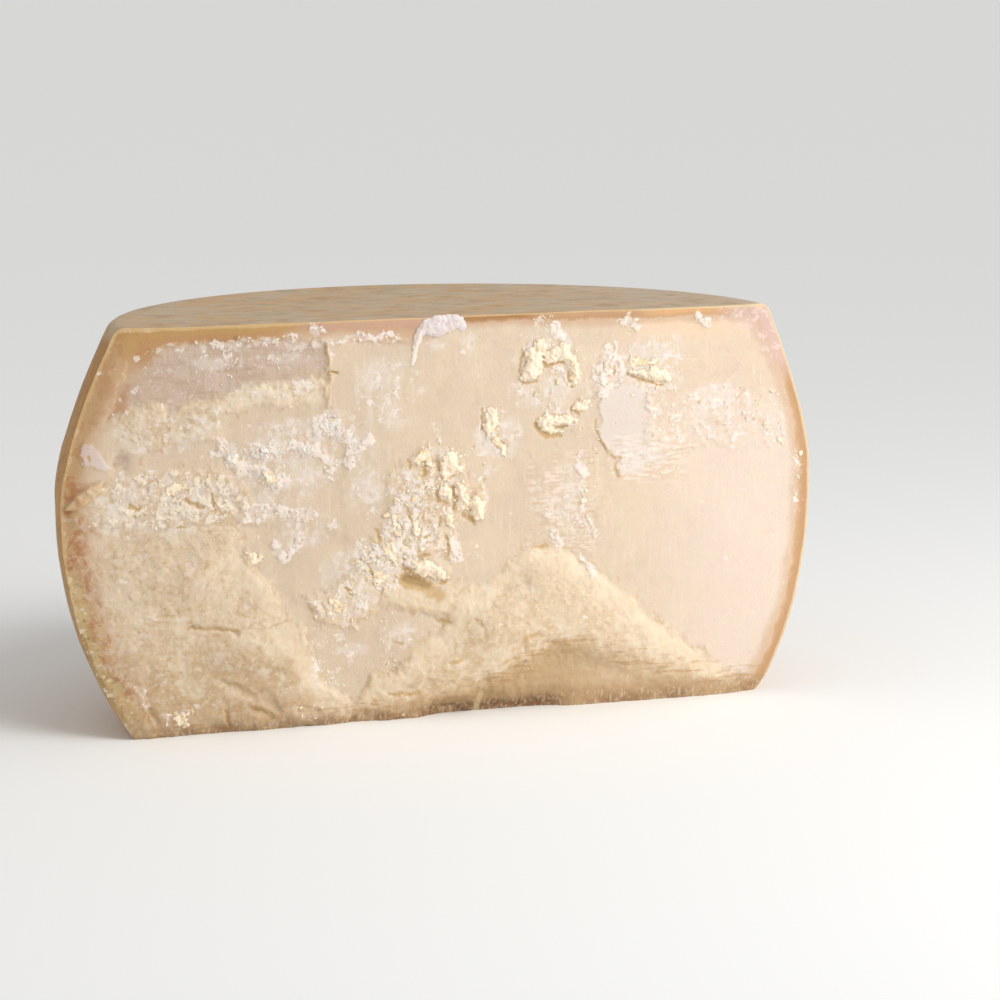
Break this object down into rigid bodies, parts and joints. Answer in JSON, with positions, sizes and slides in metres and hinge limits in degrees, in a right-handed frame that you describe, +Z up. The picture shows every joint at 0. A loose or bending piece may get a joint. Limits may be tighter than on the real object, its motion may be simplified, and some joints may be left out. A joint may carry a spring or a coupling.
{
  "type": "half wheel of parmesan cheese",
  "caption": "Half a barrel-shaped wheel of aged hard cheese, cracked open to show pale grainy paste inside a golden-brown rind.",
  "frame": {"origin": "on the flat base, under the middle of the half wheel's bounding box", "axes": "+Z up along the wheel's axis, -Y out of the broken face, +X to the right of someone looking at the broken face"},
  "size_m": [0.4532, 0.2355, 0.235],
  "materials": {
    "cheese": "grainy pale paste with a waxy golden-brown rind"
  },
  "bodies": {
    "root": {"half_wheel": "cheese"}
  },
  "joints": []
}
